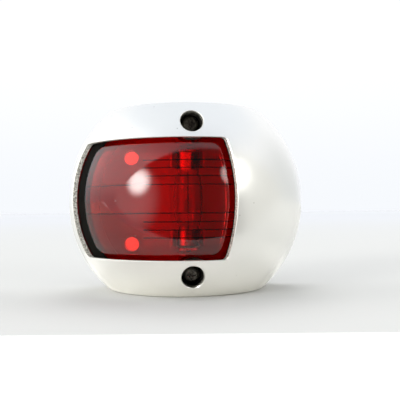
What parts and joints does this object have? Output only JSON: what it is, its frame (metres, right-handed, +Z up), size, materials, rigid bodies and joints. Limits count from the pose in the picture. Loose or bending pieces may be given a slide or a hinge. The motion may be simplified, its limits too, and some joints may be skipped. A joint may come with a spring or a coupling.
{
  "type": "navigation light",
  "caption": "Port side light for a small boat: polished steel dome housing, red lens over a little more than a quarter turn, and an upright tubular lamp between spring contacts.",
  "frame": {"origin": "centre of the back face, where the light sits on the wall", "axes": "+Z up, +Y into the wall, +X to the right seen from in front; the window opens to -Y and -X"},
  "size_m": [0.086, 0.0444, 0.064],
  "materials": {
    "polished_steel": "mirror-polished cast stainless steel",
    "red_lens": "clear red moulded plastic",
    "black_rubber": "matt black rubber",
    "white_plastic": "satin white moulded plastic",
    "clear_glass": "clear lamp glass",
    "filament_metal": "dull drawn wire",
    "nickel_plate": "nickel plate",
    "contact_brass": "plain sheet and bar brass",
    "screw_steel": "dark steel"
  },
  "bodies": {
    "base": {"base_plate": "white_plastic", "wall_gasket": "black_rubber", "cable_grommet": "black_rubber", "upper_contact_foot": "contact_brass", "lower_contact_foot": "contact_brass", "upper_threaded_insert": "contact_brass", "lower_threaded_insert": "contact_brass"},
    "cover": {"housing": "polished_steel", "lens": "red_lens", "lens_seal": "black_rubber"},
    "upper_washer": {"upper_screw_washer": "black_rubber"},
    "lower_washer": {"lower_screw_washer": "black_rubber"},
    "upper_screw": {"upper_housing_screw": "screw_steel"},
    "lower_screw": {"lower_housing_screw": "screw_steel"},
    "lamp": {"lamp_glass": "clear_glass", "lamp_filament": "filament_metal", "lamp_lead_wires": "filament_metal", "upper_lamp_cap": "nickel_plate", "lower_lamp_cap": "nickel_plate"},
    "upper_contact": {"upper_contact_blade": "contact_brass"},
    "lower_contact": {"lower_contact_blade": "contact_brass"},
    "upper_clamp": {"upper_wire_clamp": "nickel_plate"},
    "lower_clamp": {"lower_wire_clamp": "nickel_plate"},
    "upper_terminal": {"upper_terminal_screw": "nickel_plate"},
    "lower_terminal": {"lower_terminal_screw": "nickel_plate"}
  },
  "joints": [
    {"name": "housing_lift", "type": "slide", "parent": "base", "child": "cover", "axis": [0, -1, 0], "range_m": [0, 0.045]},
    {"name": "upper_screw_out", "type": "slide", "parent": "cover", "child": "upper_washer", "axis": [0, -1, 0], "range_m": [0, 0.0135]},
    {"name": "upper_screw_turn", "type": "hinge", "parent": "upper_washer", "child": "upper_screw", "pos_m": [0, -0.0282, 0.0248], "axis": [0, -1, 0], "range_deg": [0, 9730]},
    {"name": "lower_screw_out", "type": "slide", "parent": "cover", "child": "lower_washer", "axis": [0, -1, 0], "range_m": [0, 0.0135]},
    {"name": "lower_screw_turn", "type": "hinge", "parent": "lower_washer", "child": "lower_screw", "pos_m": [0, -0.0282, -0.0248], "axis": [0, -1, 0], "range_deg": [0, 9730]},
    {"name": "lamp_spin", "type": "hinge", "parent": "base", "child": "lamp", "pos_m": [0, -0.016, 0], "axis": [0, 0, 1], "continuous": true},
    {"name": "upper_contact_spread", "type": "hinge", "parent": "base", "child": "upper_contact", "pos_m": [0, -0.00632, 0.017], "axis": [-1, 0, 0], "range_deg": [0, 9.5], "stiffness_Nm_per_rad": 0.05},
    {"name": "lower_contact_spread", "type": "hinge", "parent": "base", "child": "lower_contact", "pos_m": [0, -0.00632, -0.017], "axis": [1, 0, 0], "range_deg": [0, 9.5], "stiffness_Nm_per_rad": 0.05},
    {"name": "upper_clamp_lift", "type": "slide", "parent": "base", "child": "upper_clamp", "axis": [0, -1, 0], "range_m": [0, 0.0015]},
    {"name": "upper_terminal_turn", "type": "hinge", "parent": "upper_clamp", "child": "upper_terminal", "pos_m": [0, -0.0074, 0.0123], "axis": [0, -1, 0], "range_deg": [0, 1090]},
    {"name": "lower_clamp_lift", "type": "slide", "parent": "base", "child": "lower_clamp", "axis": [0, -1, 0], "range_m": [0, 0.0015]},
    {"name": "lower_terminal_turn", "type": "hinge", "parent": "lower_clamp", "child": "lower_terminal", "pos_m": [0, -0.0074, -0.0123], "axis": [0, -1, 0], "range_deg": [0, 1090]}
  ],
  "couplings": [
    {"joint": "upper_screw_turn", "follows": "upper_screw_out", "rad_per_m": 12566},
    {"joint": "lower_screw_turn", "follows": "lower_screw_out", "rad_per_m": 12566},
    {"joint": "upper_terminal_turn", "follows": "upper_clamp_lift", "rad_per_m": 12566},
    {"joint": "lower_terminal_turn", "follows": "lower_clamp_lift", "rad_per_m": 12566}
  ]
}
